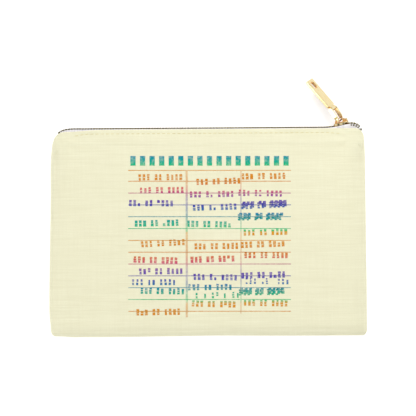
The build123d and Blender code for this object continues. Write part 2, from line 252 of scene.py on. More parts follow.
def relief(side, x, y):
    """How far the cloth stands out from its plain shape."""
    p = Vector((x / MM, y / MM, 40.0 * side))
    # slack, in broad and smaller waves
    soft = 0.26 * noise.noise(p / 62) + 0.13 * noise.noise(p / 21) + 0.04 * noise.noise(p / 7)
    # a ridge and a valley along each seam, with puckers
    gap = (half_width(y, 1 if x > 0 else -1) - abs(x)) / MM
    seam = 0.28 * bump(gap - 1.6, 0.9) - 0.26 * bump(gap - 3.9, 0.9)
    seam += 0.07 * noise.noise(Vector((y / MM / 4.5, side, x))) * bump(gap - 3, 4)
    d = (y - BOTTOM_Y) / MM
    seam += 0.22 * bump(d - 2.0, 0.9) - 0.22 * bump(d - 4.6, 1.0)
    # the step at the hem's inner edge, the sunken row of stitches, and puckers at the top corners
    to_hem = (y - (TOP_Y - HEM_DEPTH)) / MM
    hem = -0.24 * (1 - smooth((to_hem + 0.6) / 1.2))
    to_row = (y - STITCH_Y) / MM
    beat = math.cos(2 * math.pi * x / STITCH_PITCH)
    hem -= (0.17 + 0.05 * beat) * bump(to_row, 0.75)
    hem += 0.035 * beat * bump(to_row + 1.5, 2.2)
    corner = Vector((abs(x) - HALF_WIDTH + 9 * MM, y - TOP_Y + 6 * MM)) / MM
    turn = math.atan2(corner.y, corner.x)
    hem += 0.16 * math.sin(turn * 9 + side) * bump(corner.length - 8, 5)
    total = (soft + seam + hem) * MM
    if side > 0:
        total += crease(x, y)
    return total


def cloth_point(side, across, y, inset=0.0):
    """A point of a panel's outer face, and the cloth's outward normal there."""
    sign = 1 if across > 0 else -1
    reach = abs(across)
    half = half_width(y, sign) - inset
    flat, up = flat_half(side, y) - inset / 2, max(rise(side, y) - inset, 0.02 * MM)
    if reach <= 1:
        x, height, normal = across * flat, up, Vector((0, 0, side))
    else:
        turn = (reach - 1) * math.pi / 2
        # a quarter of an ellipse, squarer to the top of the front
        power = 2 + 1.6 * smooth((y - 52 * MM) / (16 * MM)) * (side > 0)
        s = math.sin(turn)
        x = sign * (flat + (half - flat) * s)
        height = up * max(0.0, 1 - s ** power) ** (1 / power)
        normal = Vector((sign * s, 0, side * math.cos(turn)))
    # no relief right at the seams
    fade = smooth((2 - reach) / 0.12) * smooth((y - BOTTOM_Y) / (0.8 * MM))
    point = Vector((x, y, SEAM_Z + side * height)) + normal * relief(side, x, y) * fade
    point.z = max(point.z, inset)
    point.y += bottom_lift(x) * (1 - smooth((y - BOTTOM_Y) / (14 * MM)))
    return point, normal


def corner_drop(x):
    """How far the top edge has come down at x, round a corner."""
    sign = 1 if x > 0 else -1
    radius = CORNER[sign]
    t = (abs(x) - (half_width(TOP_Y, sign) - radius)) / radius
    sag = HEM_SAG * smooth((-x / MM - 76) / 26)
    return sag + radius * (1 - math.sqrt(1 - min(max(t, 0.0), 1.0) ** 2))


def hem_point(side, across, y, inset=0.0):
    """As cloth_point, with the rows bent down at the top corners."""
    place = y
    for _ in range(3):          # the drop goes by the point's own x, which moves a little with it
        point, normal = cloth_point(side, across, place, inset)
        place = y - corner_drop(point.x) * smooth((y - 45 * MM) / (TOP_Y - 45 * MM))
    return point, normal


def surface(side, x, y):
    """The outer face at (x, y), and its normal."""
    flat, half = flat_half(side, y), half_width(y, 1 if x > 0 else -1)
    if abs(x) <= flat:
        return cloth_point(side, x / flat, y)
    s = min(0.999, (abs(x) - flat) / (half - flat))
    across = 1 + math.asin(s) / (math.pi / 2)
    return cloth_point(side, math.copysign(across, x), y)


def across_stations(step):
    """Where a panel's columns are, as values of across: closer together to the seams."""
    crown = [2 - (i / 15) ** 1.25 for i in range(15)]
    count = round(196 * MM / step)
    middle = [-1 + 2 * i / count for i in range(count + 1)]
    return [-c for c in crown] + middle + crown[::-1]


def up_stations(step, top):
    """Heights of a panel's rows: closer together at the bottom."""
    low = [BOTTOM_Y + d * MM for d in (0.0, 0.12, 0.35, 0.7, 1.15, 1.7, 2.4, 3.2, 4.1, 5.0)]
    count = round((top - low[-1]) / step)
    return low + [low[-1] + (top - low[-1]) * (i + 1) / count for i in range(count)]


def panel(name, side):
    """A canvas panel, with its top edge folded in over a hem."""
    columns = across_stations(1.0 * MM)
    top = TOP_Y - HEM_FOLD
    rows = [[hem_point(side, a, y)[0] for a in columns] for y in up_stations(0.85 * MM, top)]
    edge = [hem_point(side, a, top) for a in columns]
    for i in range(1, 10):      # over the fold
        turn = math.pi * i / 9
        rise_by, in_by = HEM_FOLD * math.sin(turn), HEM_FOLD * (1 - math.cos(turn))
        rows.append([p + Vector((0, rise_by, 0)) - n * in_by for p, n in edge])
    for i in range(1, 7):       # and down inside
        down = HEM_DEPTH * i / 6
        rows.append([p - Vector((0, down, 0)) - n * (2 * HEM_FOLD + 0.04 * MM * i) for p, n in edge])
    verts = [p for row in rows for p in row]
    obj = new_mesh(name, verts, grid_faces(len(rows), len(columns), flip=side < 0))
    thicken(obj, CLOTH, -1)
    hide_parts(name.replace("_cloth", "_panel"))
    return obj


def lining(name, side):
    """A wall of the lining, hung inside a panel from the zip."""
    columns = across_stations(2.6 * MM)
    inset = CLOTH + LINING_GAP
    top = TOP_Y - 4.2 * MM
    rows = []
    for y in up_stations(2.4 * MM, top):
        row = []
        for a in columns:
            extra = 2 * HEM_FOLD * smooth((y - 55 * MM) / (10 * MM))
            p, n = hem_point(side, a, max(y, BOTTOM_Y + inset), inset + extra)
            slack = 0.25 * MM * noise.noise(Vector((p.x * 45, p.y * 60, side * 9)))
            row.append(p - n * (slack + 0.2 * MM) if abs(a) < 1.9 else p)
        rows.append(row)
    verts = [p for row in rows for p in row]
    obj = new_mesh(name, verts, grid_faces(len(rows), len(columns), flip=side < 0))
    thicken(obj, LINING, -1)
    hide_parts(name.replace("_inside", "_lining"))
    return obj


# ---------------------------------------------------------------- the zip
def zip_line():
    """The zip's line, as (x, y) of every tooth and of the stops at its ends."""
    teeth = islands("zip_teeth_front") + islands("zip_teeth_back")
    ends = [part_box("bottom_stop"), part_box("top_stop_front")]
    points = [(low + high) / 2 for low, high in teeth + ends]
    return sorted((p.x, p.y) for p in points)


LINE = zip_line()


def line_at(x):
    """Height of the zip's line at x, and its slope."""
    if x <= LINE[0][0]:
        (x0, y0), (x1, y1) = LINE[0], LINE[2]
        slope = (y1 - y0) / (x1 - x0)
        return y0 + (x - x0) * slope, slope
    if x >= LINE[-1][0]:
        (x0, y0), (x1, y1) = LINE[-3], LINE[-1]
        slope = (y1 - y0) / (x1 - x0)
        return y1 + (x - x1) * slope, slope
    for (x0, y0), (x1, y1) in zip(LINE, LINE[1:]):
        if x0 <= x <= x1 and x1 > x0:
            slope = (y1 - y0) / (x1 - x0)
            return y0 + (x - x0) * slope, slope
    return LINE[-1][1], 0.0


def tooth_parts():
    """A tooth's mesh: X along the zip, Y up, and Z across the zip, from its head out to its legs."""
    reach, back, high, wide = 0.55, 2.15, 1.25, 0.46    # head, ends of the legs, half height, half width
    work = bmesh.new()
    profile = [
        (-reach, 0.50), (-reach + 0.1, 0.72), (0.25, 0.88), (0.5, 0.9), (0.78, high),
        (back - 0.35, high), (back - 0.1, high - 0.12), (back, high - 0.4), (back, 0.30),
        (0.75, 0.28),
    ]
    outline = profile + [(w, -v) for w, v in profile[::-1]]
    slim = 0.72                 # the head's width, as a share of the legs'
    thick = [wide * (slim if w < 0.2 else 1.0) for w, _ in outline]
    near, far = (
        [work.verts.new((side * t * MM, v * MM, w * MM)) for (w, v), t in zip(outline, thick)]
        for side in (-1, 1))
    for i in range(len(outline)):
        j = (i + 1) % len(outline)
        work.faces.new((near[i], near[j], far[j], far[i]))
    work.faces.new(near[::-1])
    work.faces.new(far)
    bmesh.ops.recalc_face_normals(work, faces=work.faces)
    sharp = [e for e in work.edges if e.calc_face_angle(0) > 0.35]
    bmesh.ops.bevel(work, geom=sharp, offset=0.07 * MM, segments=2, profile=0.6, affect="EDGES")
    nub = bmesh.ops.create_icosphere(work, subdivisions=2, radius=0.24 * MM)
    for v in nub["verts"]:
        v.co.x = v.co.x * 0.7 + wide * slim * MM
        v.co.z -= 0.2 * MM
    bmesh.ops.triangulate(work, faces=work.faces)
    # in one order, because a bevel gives its corners in any order
    corners = sorted(work.verts, key=lambda v: tuple(round(c / MM, 5) for c in v.co))
    number = {v: i for i, v in enumerate(corners)}
    verts = [v.co.copy() for v in corners]
    tris = [tuple(number[v] for v in f.verts) for f in work.faces]
    work.free()
    return verts, sorted(min(t, t[1:] + t[:1], t[2:] + t[:2]) for t in tris)


def tooth_row(name, side, boxes):
    """One row of teeth, each standing where its CAD tooth does."""
    shape, tris = tooth_parts()
    centre = 0.8 * MM           # of a tooth's box, along w
    verts, faces = [], []
    for low, high in boxes:
        middle = (low + high) / 2
        slope = line_at(middle.x)[1]
        turn = Matrix.Rotation(math.atan(slope) + random.uniform(-0.03, 0.03), 3, "Z")
        base = len(verts)
        for p in shape:
            q = Vector((p.x, p.y, p.z - centre))
            q.z *= side
            verts.append(middle + turn @ q)
        faces += [tuple(base + i for i in (t if side > 0 else t[::-1])) for t in tris]
    obj = new_mesh(name, verts, faces)
    shade_smooth(obj)
    return obj


PART_BY = 1.9 * MM          # how far each row moves out when the zip is opened
WEDGE_BY = 1.25 * MM        # how far the slider's wedge holds the rows apart
WEDGE_START, WEDGE_RUN = 93.6, 6.2          # where the wedge does so at rest, in mm
PINCH_BY = 0.75 * MM        # how far the rows come together again at their end
PINCH_START, PINCH_RUN = 105, 6
TRAVEL = 190 * MM           # of the slider, from rest
HUMP_START = 84 * MM        # at rest the rows rise to the slider from here on
HUMP_FALL = 13 * MM         # how soon they lie down again past the opened slider
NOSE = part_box("slider_body")[1].x
STRETCH = 2 * MM            # length of the stretches that rise by the slider
WEDGE_LEFT, WEDGE_RIGHT = 94 * MM, 98 * MM  # the stretch on the wedge at rest
BEYOND = 200 * MM           # past either end of the zip


def spread(x):
    """How far each row stands out at rest, forced apart by the slider's wedge and pinched at its end."""
    opened = WEDGE_BY * smooth((x / MM - WEDGE_START) / WEDGE_RUN)
    return opened - PINCH_BY * smooth((x / MM - PINCH_START) / PINCH_RUN)


def moved(x):
    """How far a row at x has gone up and out when the slider is at its far limit."""
    there = x + TRAVEL      # the place at rest that has the same place in the slider
    past = there - NOSE
    lift = line_at(min(there, NOSE))[0] - line_at(0)[0]
    lift *= 1 - smooth(past / HUMP_FALL)
    out = spread(min(there, NOSE)) + (PART_BY - WEDGE_BY) * smooth(past / (5 * MM))
    return lift, max(0.0, out - spread(x))


def stretches():
    """The zip cut in stretches, one piece each: (name's ending, left end, right end)."""
    first, last = HUMP_START - TRAVEL, NOSE - TRAVEL + HUMP_FALL
    count = math.ceil((last - first) / STRETCH)
    edges = [first + i * STRETCH for i in range(count + 1)]
    found = [("_end", -BEYOND, first)]
    found += [(f"_by_slider_{i}", edges[i], edges[i + 1]) for i in range(count)]
    found += [("", edges[-1], WEDGE_LEFT), ("_wedge", WEDGE_LEFT, WEDGE_RIGHT)]
    return found + [("_nose", WEDGE_RIGHT, BEYOND)]


def move_piece(obj, side, x, lift, out):
    """Gives the piece a mesh of its own when the zip's opening would move it by more than 0.01 mm, up by
    lift and outwards by out.
    """
    way = Vector((0, lift, side * out))
    if way.length < 0.01 * MM:
        return
    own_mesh(obj)


def teeth():
    for side, word in ((1, "front"), (-1, "back")):
        node = "zip_teeth_" + word
        boxes = islands(node)
        for ending, left, right in stretches():
            members = [b for b in boxes if left <= (b[0].x + b[1].x) / 2 < right]
            if not members:
                continue
            row = tooth_row("teeth_" + word + ending, side, members)
            finish(row, brass_antique)
            if ending == "":
                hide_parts(node)
            x = (max(left, LINE[0][0]) + min(right, LINE[-1][0])) / 2
            move_piece(row, side, x, *moved(x))


def tape_section(side, x):
    """The tape's section at x: in from its edge in the teeth, over the hem's fold, and down."""
    y = line_at(x)[0]
    inner = TAPE_EDGE + spread(x)
    drawn_in = 2.2 * MM * smooth((abs(x + 1 * MM) / MM - 99) / 9)      # near the zip's two ends
    bend, outer = TAPE_BEND, TAPE_OUT - drawn_in
    points = [(inner + (outer - bend - inner) * i / 4, y) for i in range(5)]
    for i in range(1, 5):
        turn = math.pi / 2 * i / 4
        points.append((outer - bend + bend * math.sin(turn), y - bend * (1 - math.cos(turn))))
    points += [(outer, y - bend - (TAPE_DEPTH - bend) * i / 5) for i in range(1, 6)]
    return [Vector((x, v, ZIP_Z + side * w)) for w, v in points]


def tape(name, side, start, end, part=slice(None)):
    """A stretch of tape. part picks some of its section's points."""
    count = max(2, round((end - start) / (1.2 * MM)))
    rows = [tape_section(side, start + (end - start) * i / count)[part] for i in range(count + 1)]
    verts = [p for row in rows for p in row]
    obj = new_mesh(name, verts, grid_faces(len(rows), len(rows[0]), flip=side > 0))
    thicken(obj, TAPE, 0)
    finish(obj, tape_twill)
    return obj


def tapes():
    """A piece of tape for each stretch of the zip; by the slider a stretch is in two pieces, its shelf
    and its flange.
    """
    first, last = LINE[0][0] - 0.6 * MM, LINE[-1][0] + 0.4 * MM
    for side, word in ((1, "front"), (-1, "back")):
        for ending, left, right in stretches():
            left, right = max(left, first), min(right, last)
            x = (left + right) / 2
            lift, out = moved(x)
            name = "tape_" + word + ending
            if "by_slider" in ending:
                shelf = tape(name + "_shelf", side, left, right, TAPE_SHELF)
                move_piece(shelf, side, x, lift, out)
                flange = tape(name, side, left, right, TAPE_FLANGE)
                move_piece(flange, side, x, lift, 0)
                continue
            strip = tape(name, side, left, right)
            if ending == "":
                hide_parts("zip_tape_" + word)
            if out > 0:
                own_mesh(strip)


# ---------------------------------------------------------------- thread
def thread_mesh(paths, radius):
    """Twisted sewing thread along short paths of (point, normal): round tubes with pointed ends."""
    verts, faces = [], []
    around = 8
    for path in paths:
        base = len(verts)
        last = len(path) - 1
        for i, (p, n) in enumerate(path):
            ahead = path[min(i + 1, last)][0] - path[max(i - 1, 0)][0]
            along = ahead.normalized()
            out = (n - along * n.dot(along)).normalized()
            sideways = along.cross(out)
            t = i / last
            r = radius * (0.35 + 0.65 * bulge(min(t, 1 - t), 0.22))
            for k in range(around):
                a = 2 * math.pi * k / around + t * 7
                ply = 1 + 0.13 * math.cos(2 * (2 * math.pi * k / around))
                verts.append(p + (out * math.cos(a) + sideways * math.sin(a)) * r * ply)
        for i in range(last):
            for k in range(around):
                a, b = base + i * around + k, base + i * around + (k + 1) % around
                faces.append((a, b, b + around, a + around))
        faces.append(tuple(base + k for k in range(around))[::-1])
        faces.append(tuple(base + last * around + k for k in range(around)))
    return verts, faces


def row_droop(x):
    """The stitching follows the zip down towards both ends."""
    left = 2.2 * MM * smooth((-x / MM - 84) / 20)
    right = 1.6 * MM * smooth((x / MM - 84) / 22)
    return left + right


def topstitch(name, side):
    """A row of stitches on a panel, their ends sunk into it."""
    paths = []
    for low, high in islands(name):
        x = (low.x + high.x) / 2
        length = (high.x - low.x) * 0.94
        tilt = random.uniform(-0.05, 0.05)
        path = []
        for i in range(9):
            t = i / 8 - 0.5
            px = x + t * length
            py = STITCH_Y - row_droop(px) + t * length * tilt
            p, n = surface(side, px, py)
            dip = 0.2 * MM * bump(0.5 - abs(t), 0.12)
            path.append((p + n * (0.10 * MM - dip), n))
        paths.append(path)
    obj = new_mesh(name + "_thread", *thread_mesh(paths, 0.23 * MM))
    shade_smooth(obj)
    finish(obj, cotton_thread)
    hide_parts(name)


def seam_thread(node):
    """The stitches of a seam, seen in the valley between the two panels."""
    paths = []
    for low, high in islands(node):
        a, b = low.copy(), high.copy()
        if high.x - low.x > high.y - low.y:
            a.y = b.y = BOTTOM_Y + SEAM_INSET + bottom_lift((low.x + high.x) / 2)
            n = Vector((0, -1, 0))
        else:
            middle = (low.y + high.y) / 2
            sign = 1 if low.x > 0 else -1
            a.x = b.x = sign * (half_width(middle, sign) - SEAM_INSET)
            n = Vector((sign, 0, 0))
        a.z = b.z = SEAM_Z
        path = []
        for i in range(7):
            t = i / 6
            p = a.lerp(b, t)
            path.append((p - n * 0.15 * MM * bump(0.5 - abs(t - 0.5), 0.12), n))
        paths.append(path)
    obj = new_mesh(node + "_stitches", *thread_mesh(paths, 0.2 * MM))
    shade_smooth(obj)
    finish(obj, cotton_thread)
    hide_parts(node)


# ---------------------------------------------------------------- the print
# A ruled card printed on the front: a row of plain blocks for its heading, ruled lines, two column
# lines, and rows of small stamped blocks that stand for entries. Millimetres on the panel.
CARD_LEFT, CARD_RIGHT = -57.6, 60.0
HEADING = (55.6, 48.6)      # top and bottom of the heading's blocks
RULE_TOP = 45.2
RULE_FIRST = 7.85           # from the top rule to the second
RULE_PITCH = 8.55
RULE_COUNT = 13
RULE_HALF = 0.25            # half a rule's thickness
COLUMN_LINES = [(-15.3, 1.55, -61.1), (23.9, 0.75, -58.3)]     # x, width, lower end
HEADING_BLOCKS = 17
STAMP_GROUPS = [3, 2, 4]    # blocks in each group of a stamp
STAMPS = [                  # column's middle, then (height, shift, tilt, weight) of each stamp
    (-34.5, [(40.4, 0.6, 0.3, 1.0), (31.1, 1.6, 1.0, 0.9), (21.7, -6.2, -0.5, 1.1),
             (7.2, -2.2, 1.2, 1.2), (-7.2, 2.4, 3.0, 0.9), (-19.5, -3.0, -1.5, 1.2),
             (-27.5, 1.0, 0.8, 1.0), (-35.4, -4.2, 0.0, 0.8), (-41.9, 2.0, -1.2, 1.0),
             (-57.1, -1.0, 1.0, 1.1)]),
    (4.6, [(37.5, 3.4, 2.0, 1.0), (28.2, -1.4, 1.0, 0.9), (18.8, 0.8, 1.6, 1.0),
           (6.5, -3.4, -1.0, 1.2), (-9.4, 2.0, 0.8, 1.0), (-18.8, -1.0, 1.8, 1.2),
           (-31.8, 1.2, -0.8, 1.0), (-39.0, -2.6, 0.6, 0.9), (-44.8, 2.8, 1.0, 0.55),
           (-51.3, 0.0, -1.4, 1.1)]),
    (41.2, [(41.2, -0.6, 0.8, 1.0), (28.9, -2.8, -1.0, 0.85), (21.0, 0.0, 2.6, 1.5),
            (12.3, -2.4, 0.4, 1.5), (0.7, 0.8, 1.2, 1.0), (-8.0, -1.2, 2.2, 1.1),
            (-15.9, 1.4, 0.0, 0.9), (-30.3, -0.8, 1.4, 1.2), (-34.7, 2.2, -0.6, 0.5),
            (-41.9, -1.6, 0.8, 1.5), (-50.6, 1.0, -1.2, 1.0)]),
]
CARD_TURN = math.radians(-0.38)     # the card is printed a little out of square
INK_LIFT = 0.035 * MM
INK_GRID = 1.1              # the widest cell of a patch of ink


class Ink:
    """Collects thin patches of ink that lie on the front panel."""

    def __init__(self):
        self.verts, self.faces = [], []

    def patch(self, x0, y0, x1, y1, ragged=0.05, tilt=0.0, about=(0, 0)):
        """A block of ink with slightly uneven edges, tilted about a point."""
        across = max(2, math.ceil(abs(x1 - x0) / INK_GRID))
        up = max(2, math.ceil(abs(y1 - y0) / INK_GRID))
        base = len(self.verts)
        turn = Matrix.Rotation(math.radians(tilt), 2)
        square = Matrix.Rotation(CARD_TURN, 2)
        centre = Vector(about)
        for j in range(up + 1):
            for i in range(across + 1):
                x, y = x0 + (x1 - x0) * i / across, y0 + (y1 - y0) * j / up
                if i in (0, across):
                    x += random.uniform(-ragged, ragged)
                if j in (0, up):
                    y += random.uniform(-ragged, ragged)
                place = square @ (centre + turn @ (Vector((x, y)) - centre))
                p, n = surface(1, place.x * MM, place.y * MM)
                self.verts.append(p + n * INK_LIFT)
        for j in range(up):
            for i in range(across):
                a = base + j * (across + 1) + i
                self.faces.append((a, a + 1, a + across + 2, a + across + 1))

    def object(self, name, material):
        obj = new_mesh(name, self.verts, self.faces)
        shade_smooth(obj)
        finish(obj, material)
        return obj


def heading():
    """The row of plain blocks that stands for the card's heading."""
    marks = Ink()
    top, bottom = HEADING
    margin, solid = 1.6, 0.55   # at each end of the row, and a block's share of the pitch
    pitch = (CARD_RIGHT - CARD_LEFT - 2 * margin) / (HEADING_BLOCKS - 1 + solid)
    for i in range(HEADING_BLOCKS):
        x = CARD_LEFT + margin + i * pitch
        marks.patch(x, bottom, x + pitch * solid, top, 0.06)
    marks.object("print_heading", ink)


def rules():
    marks = Ink()
    heights = [RULE_TOP] + [RULE_TOP - RULE_FIRST - i * RULE_PITCH for i in range(RULE_COUNT - 1)]
    for y in heights:
        marks.patch(CARD_LEFT, y - RULE_HALF, CARD_RIGHT, y + RULE_HALF, 0.04)
    marks.object("print_rules", ink)
    columns = Ink()
    for x, width, low in COLUMN_LINES:
        columns.patch(x - width / 2, low, x + width / 2, RULE_TOP, 0.05)
    columns.object("print_columns", faint_ink)


def stamp(marks, x, y, tilt, weight):
    """A stamped entry: groups of small blocks, each block of one to three bars."""
    wide, pitch, gap, high = 2.5, 3.1, 2.4, 4.8     # block, step, space after a group, block's height
    at = x - (sum(STAMP_GROUPS) * pitch + (len(STAMP_GROUPS) - 1) * gap) / 2
    for group in STAMP_GROUPS:
        for _ in range(group):
            bars = random.choice((1, 2, 2, 3))
            slim = high / bars * min(0.94, 0.84 * weight ** 0.3)
            for k in range(bars):
                low = y - high / 2 + high / bars * k
                a = at + random.uniform(0, 0.35)
                b = at + wide * min(1.1, 0.86 * weight ** 0.4) - random.uniform(0, 0.4)
                if random.random() < 0.95 * min(1, weight + 0.25):
                    marks.patch(a, low, b, low + slim, 0.1, tilt, (x, y))
            at += pitch
        at += gap


def stamps():
    marks = Ink()
    for middle, column in STAMPS:
        for y, shift, tilt, weight in column:
            stamp(marks, middle + shift, y, tilt, weight)
            if weight > 1.3:    # stamped over
                stamp(marks, middle + shift - 0.9, y - 0.8, tilt, 0.9)
    marks.object("print_stamps", ink)


# ---------------------------------------------------------------- materials
WAVE_SCALE = 2 * math.pi / 20       # the scale of a wave texture with bands 1 m apart


def new_material(name):
    """A material with a Principled shader, and a function that adds linked nodes to it."""
    mat = bpy.data.materials.new(name)
    mat.use_nodes = True
    nodes, links = mat.node_tree.nodes, mat.node_tree.links
    shader = nodes["Principled BSDF"]

    def add(kind, inputs=None, **settings):
        node = nodes.new(kind)
        for key, value in settings.items():
            setattr(node, key, value)
        for key, value in (inputs or {}).items():
            if isinstance(value, bpy.types.NodeSocket):
                links.new(value, node.inputs[key])
            else:
                node.inputs[key].default_value = value
        return node

    def join(value, socket):
        links.new(value, shader.inputs[socket])

    return mat, shader, add, join


def linear(r, g, b):
    """A colour given as 0 to 255 on screen, as linear values."""
    out = []
    for c in (r, g, b):
        c /= 255
        out.append(c / 12.92 if c <= 0.04045 else ((c + 0.055) / 1.055) ** 2.4)
    return (*out, 1.0)


def where(add, scale=(1, 1, 1)):
    """The place on the piece, in metres, scaled along each axis."""
    place = add("ShaderNodeTexCoord")
    return add("ShaderNodeMapping", {"Vector": place.outputs["Object"], "Scale": scale}).outputs[0]


def mix(add, factor, a, b):
    """A colour between a and b. The numbers are the sockets of a colour mix."""
    node = add("ShaderNodeMix", data_type="RGBA")
    for key, value in ((0, factor), (6, a), (7, b)):
        if isinstance(value, bpy.types.NodeSocket):
            node.id_data.links.new(value, node.inputs[key])
        else:
            node.inputs[key].default_value = value
    return node.outputs[2]


def math_node(add, operation, a, b):
    return add("ShaderNodeMath", {0: a, 1: b}, operation=operation).outputs[0]


def spread_to(add, value, low, high, to_low=0.0, to_high=1.0):
    """The value, with low to high spread evenly over to_low to to_high."""
    node = add("ShaderNodeMapRange", {
        "Value": value, "From Min": low, "From Max": high, "To Min": to_low, "To Max": to_high})
    return node.outputs[0]


def noise_at(add, scale, detail, rough=0.5, stretch=(1, 1, 1)):
    node = add("ShaderNodeTexNoise", {
        "Vector": where(add, stretch), "Scale": scale, "Detail": detail, "Roughness": rough})
    return node.outputs["Fac"]


def bands(add, place, pitch, direction, distortion, detail_scale=1.0):
    """Even waves of a pitch, as the threads of a weave make them."""
    return add("ShaderNodeTexWave", {
        "Vector": place, "Scale": WAVE_SCALE / pitch, "Distortion": distortion, "Detail": 1.0,
        "Detail Scale": detail_scale}, wave_type="BANDS", bands_direction=direction).outputs["Fac"]


def weave(add, warp_pitch, weft_pitch):
    """A plain weave's threads: warp along Y, and weft along X."""
    place = where(add)
    return bands(add, place, warp_pitch, "X", 0.6, 1.5), bands(add, place, weft_pitch, "Y", 0.9, 1.2)


def lumps(add, join, height, distance, strength):
    """Bump in a material, distance high."""
    node = add("ShaderNodeBump", {"Height": height, "Distance": distance, "Strength": strength})
    join(node.outputs[0], "Normal")


def canvas_look(add):
    """Colour, height and threads of the canvas, for the cloth and for the ink on it."""
    warp, weft = weave(add, 0.62 * MM, 0.78 * MM)
    slub = noise_at(add, 1.0, 3.0, 0.6, stretch=(38, 880, 60))
    ends = noise_at(add, 1.0, 2.0, stretch=(900, 45, 60))
    cloud = noise_at(add, 1.0, 3.0, stretch=(26, 20, 20))
    streak = spread_to(add, slub, 0.3, 0.7, 0.0, 1.0)
    tone = mix(add, streak, linear(235, 232, 200), linear(245, 243, 214))
    grain = spread_to(add, ends, 0.3, 0.7, 0.0, 0.35)
    tone = mix(add, grain, tone, linear(232, 228, 195))
    haze = spread_to(add, cloud, 0.35, 0.7, 0.0, 0.35)
    tone = mix(add, haze, tone, linear(238, 235, 204))
    thread = math_node(add, "MAXIMUM", math_node(add, "MULTIPLY", warp, 0.8), weft)
    deep = spread_to(add, thread, 0.0, 0.8, 0.55, 0.0)
    tone = mix(add, deep, tone, linear(219, 213, 176))
    height = math_node(add, "ADD", thread, math_node(add, "MULTIPLY", slub, 0.9))
    return tone, height, thread


def canvas_material():
    mat, shader, add, join = new_material("cream_canvas")
    tone, height, _ = canvas_look(add)
    join(tone, "Base Color")
    lumps(add, join, height, 0.10 * MM, 0.8)
    shader.inputs["Roughness"].default_value = 0.92
    shader.inputs["Sheen Weight"].default_value = 0.12
    shader.inputs["Sheen Roughness"].default_value = 0.6
    shader.inputs["Specular IOR Level"].default_value = 0.2
    return mat


INK_STOPS = [               # height on the panel in millimetres, and the ink's colour there
    (-62, (206, 128, 10)), (-51, (212, 142, 20)), (-49, (20, 186, 112)), (-44, (0, 166, 128)),
    (-39, (0, 126, 160)), (-33, (76, 70, 168)), (-27, (112, 76, 162)), (-21, (204, 74, 104)),
    (-15, (208, 121, 14)), (0.4, (211, 146, 14)), (1.4, (20, 190, 112)), (8.5, (0, 158, 140)),
    (14, (0, 124, 164)), (20, (62, 66, 166)), (25, (112, 70, 160)), (31, (206, 72, 104)),
    (36, (208, 122, 16)), (46.3, (211, 140, 14)), (47.8, (0, 184, 112)), (56, (0, 134, 164)),
]


def ink_material(name, lowest, highest):
    """Ink that changes colour up the card, worn through where the cloth is high."""
    mat, shader, add, join = new_material(name)
    tone, height, thread = canvas_look(add)
    place = add("ShaderNodeSeparateXYZ", {"Vector": where(add)}).outputs["Y"]
    low, high = INK_STOPS[0][0], INK_STOPS[-1][0]
    share = spread_to(add, place, low * MM, high * MM)
    ramp = add("ShaderNodeValToRGB", {"Fac": share})
    stops = ramp.color_ramp.elements
    while len(stops) > 1:
        stops.remove(stops[-1])
    for i, (y, colour) in enumerate(INK_STOPS):
        at = (y - low) / (high - low)
        stop = stops[0] if i == 0 else stops.new(at)
        stop.position = at
        stop.color = linear(*colour)
    patchy = noise_at(add, 420.0, 3.0, 0.65)
    broad = noise_at(add, 95.0, 2.0)
    cover = math_node(add, "ADD", spread_to(add, patchy, 0.3, 0.6, 0.5, 1.05),
                      spread_to(add, broad, 0.3, 0.6, -0.22, 0.05))
    cover = math_node(add, "ADD", cover, spread_to(add, thread, 0.0, 1.0, -0.15, 0.08))
    cover = spread_to(add, cover, 0.0, 1.0, lowest, highest)
    join(mix(add, cover, tone, ramp.outputs["Color"]), "Base Color")
    lumps(add, join, height, 0.09 * MM, 0.8)
    shader.inputs["Roughness"].default_value = 0.8
    shader.inputs["Specular IOR Level"].default_value = 0.25
    return mat


def lining_material():
    mat, shader, add, join = new_material("cotton_lining")
    warp, weft = weave(add, 0.34 * MM, 0.36 * MM)
    cloud = noise_at(add, 60.0, 3.0)
    tone = mix(add, spread_to(add, cloud, 0.3, 0.7), linear(226, 221, 203), linear(236, 232, 216))
    thread = math_node(add, "MAXIMUM", warp, weft)
    tone = mix(add, spread_to(add, thread, 0, 0.8, 0.4, 0), tone, linear(196, 190, 170))
    join(tone, "Base Color")
    lumps(add, join, thread, 0.04 * MM, 0.7)
    shader.inputs["Roughness"].default_value = 0.9
    return mat


def tape_material():
    """Diagonal twill of a zip tape, off-white with a cool cast."""
    mat, shader, add, join = new_material("tape_twill")
    twill = bands(add, where(add), 0.55 * MM, "DIAGONAL", 0.5)
    cloud = noise_at(add, 240.0, 3.0)
    tone = mix(add, spread_to(add, cloud, 0.3, 0.7), linear(232, 228, 230), linear(244, 241, 242))
    tone = mix(add, spread_to(add, twill, 0, 0.6, 0.45, 0), tone, linear(206, 198, 206))
    join(tone, "Base Color")
    lumps(add, join, twill, 0.08 * MM, 0.9)
    shader.inputs["Roughness"].default_value = 0.85
    shader.inputs["Sheen Weight"].default_value = 0.15
    return mat


def thread_material():
    mat, shader, add, join = new_material("cotton_thread")
    fuzz = noise_at(add, 1500.0, 3.0)
    tone = mix(add, spread_to(add, fuzz, 0.3, 0.7), linear(220, 208, 150), linear(238, 230, 186))
    join(tone, "Base Color")
    lumps(add, join, fuzz, 0.05 * MM, 0.8)
    shader.inputs["Roughness"].default_value = 0.75
    shader.inputs["Sheen Weight"].default_value = 0.2
    return mat


